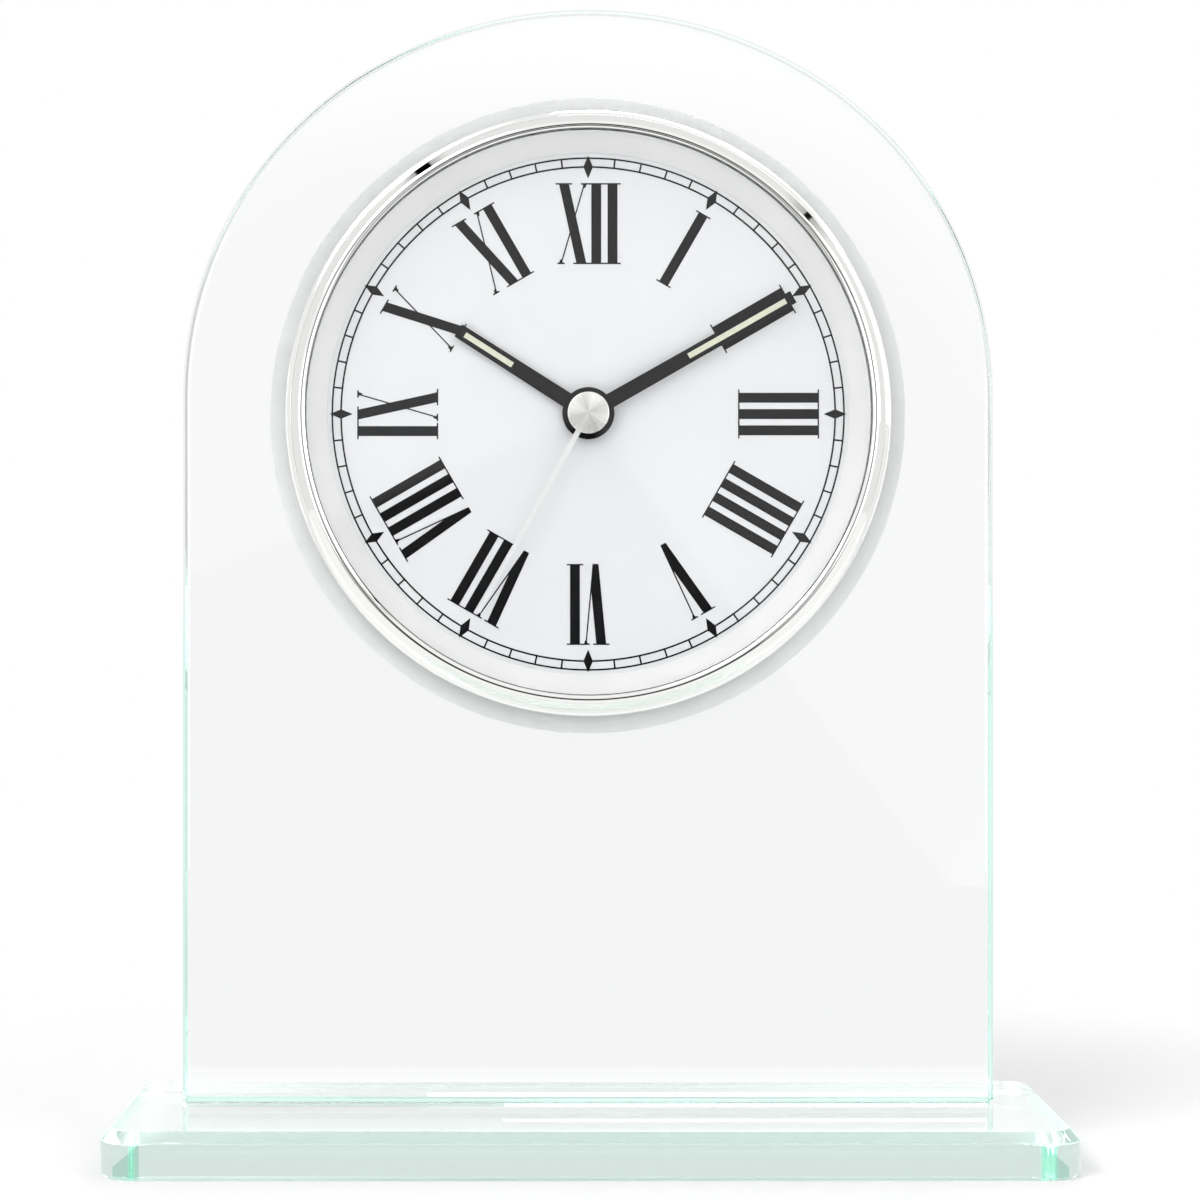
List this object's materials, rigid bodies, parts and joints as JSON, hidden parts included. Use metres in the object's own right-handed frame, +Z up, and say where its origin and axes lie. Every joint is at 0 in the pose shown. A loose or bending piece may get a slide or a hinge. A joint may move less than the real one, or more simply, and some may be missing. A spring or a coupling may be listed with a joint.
{
  "type": "mantel clock",
  "caption": "Clear glass mantel clock: an arched upright pane on a bevelled glass base, with a round chrome-rimmed quartz clock set through the pane.",
  "frame": {"origin": "centre of the underside of the glass base", "axes": "+Z up, the dial faces -Y, +X to the right as seen from the front"},
  "size_m": [0.165, 0.05, 0.201],
  "materials": {
    "clear_glass": "polished clear glass, pale green through its thickness",
    "cement": "clear cured cement",
    "bezel_chrome": "bright chromed roll",
    "crystal_glass": "flat mineral glass",
    "surround_satin": "satin silver",
    "dial_white": "matt white paint",
    "dial_ink": "black print",
    "hand_black": "satin black paint",
    "hand_paste": "pale luminous paste",
    "hand_silver": "bright nickel",
    "cap_nickel": "spun nickel",
    "washer": "soft pale grey foam",
    "carrier_plastic": "moulded light grey plastic",
    "housing_plastic": "fine-textured light grey plastic",
    "door_plastic": "fine-textured light grey plastic",
    "movement_plastic": "moulded black plastic",
    "plate_plastic": "moulded natural plastic",
    "gear_plastic": "moulded acetal",
    "arbor_metal": "turned brass",
    "spring_metal": "pressed spring steel",
    "motor_iron": "bare soft iron",
    "coil_copper": "enamelled copper wire",
    "board": "green solder mask",
    "can_metal": "drawn metal can",
    "chip_black": "black epoxy",
    "cell": "plain printed sleeve with a bright button",
    "contact_metal": "nickelled spring strip",
    "screw_metal": "zinc plated",
    "knob_plastic": "moulded black plastic"
  },
  "bodies": {
    "clock": {"base_block": "clear_glass", "glass_pane": "clear_glass", "bond_film": "cement", "bezel": "bezel_chrome", "crystal": "crystal_glass", "dial_surround": "surround_satin", "front_washer": "washer", "rear_washer": "washer", "dial": "dial_white", "minute_track": "dial_ink", "hour_numerals": "dial_ink", "dial_carrier": "carrier_plastic", "rear_housing": "housing_plastic", "housing_screw_right": "screw_metal", "housing_screw_top": "screw_metal", "housing_screw_left": "screw_metal", "housing_screw_bottom": "screw_metal", "movement_screw_left": "screw_metal", "movement_screw_right": "screw_metal", "movement_case": "movement_plastic", "movement_cover": "movement_plastic", "train_deck": "plate_plastic", "train_bridge": "plate_plastic", "stator": "motor_iron", "coil_core": "motor_iron", "coil_bobbin": "plate_plastic", "coil_winding": "coil_copper", "circuit_board": "board", "quartz_can": "can_metal", "chip": "chip_black", "battery": "cell", "contact_plus": "contact_metal", "contact_minus": "contact_metal"},
    "minute": {"minute_arbor": "arbor_metal", "clutch_spring": "spring_metal", "minute_hand": "hand_black", "minute_paste": "hand_paste"},
    "hour": {"hour_wheel": "gear_plastic", "hour_hand": "hand_black", "hour_paste": "hand_paste"},
    "motion": {"motion_wheel": "gear_plastic"},
    "setting": {"setting_knob": "knob_plastic", "setting_pinion": "gear_plastic"},
    "second": {"seconds_wheel": "gear_plastic", "second_hand": "hand_silver", "hand_cap": "cap_nickel"},
    "third": {"third_wheel": "gear_plastic"},
    "centre": {"centre_wheel": "gear_plastic"},
    "step": {"step_wheel": "gear_plastic"},
    "rotor": {"rotor": "gear_plastic"},
    "door": {"battery_door": "door_plastic"}
  },
  "joints": [
    {"name": "minute_turn", "type": "hinge", "parent": "clock", "child": "minute", "pos_m": [0, 0.004, 0.1295], "axis": [0, 1, 0], "continuous": true},
    {"name": "hour_turn", "type": "hinge", "parent": "clock", "child": "hour", "pos_m": [0, 0.004, 0.1295], "axis": [0, 1, 0], "continuous": true},
    {"name": "motion_turn", "type": "hinge", "parent": "clock", "child": "motion", "pos_m": [-0.00707, 0.004, 0.13657], "axis": [0, 1, 0], "continuous": true},
    {"name": "setting_turn", "type": "hinge", "parent": "clock", "child": "setting", "pos_m": [-0.01092, 0.01, 0.14714], "axis": [0, 1, 0], "continuous": true},
    {"name": "second_turn", "type": "hinge", "parent": "clock", "child": "second", "pos_m": [0, 0.006, 0.1295], "axis": [0, 1, 0], "continuous": true},
    {"name": "third_turn", "type": "hinge", "parent": "clock", "child": "third", "pos_m": [-0.00904, 0.01, 0.13109], "axis": [0, 1, 0], "continuous": true},
    {"name": "centre_turn", "type": "hinge", "parent": "clock", "child": "centre", "pos_m": [0, 0.009, 0.1295], "axis": [0, 1, 0], "continuous": true},
    {"name": "step_turn", "type": "hinge", "parent": "clock", "child": "step", "pos_m": [0.0048, 0.01, 0.13781], "axis": [0, 1, 0], "continuous": true},
    {"name": "rotor_turn", "type": "hinge", "parent": "clock", "child": "rotor", "pos_m": [0.01138, 0.01, 0.14021], "axis": [0, 1, 0], "continuous": true},
    {"name": "battery_door_hinge", "type": "hinge", "parent": "clock", "child": "door", "pos_m": [0, 0.0198, 0.1002], "axis": [-1, 0, 0], "range_deg": [0, 90]}
  ],
  "couplings": [
    {"joint": "hour_turn", "follows": "minute_turn", "ratio": 0.083333},
    {"joint": "motion_turn", "follows": "minute_turn", "ratio": -0.33333},
    {"joint": "setting_turn", "follows": "minute_turn", "ratio": 0.66667},
    {"joint": "third_turn", "follows": "second_turn", "ratio": -0.13333},
    {"joint": "centre_turn", "follows": "second_turn", "ratio": 0.016667},
    {"joint": "step_turn", "follows": "second_turn", "ratio": -5},
    {"joint": "rotor_turn", "follows": "second_turn", "ratio": 30}
  ]
}
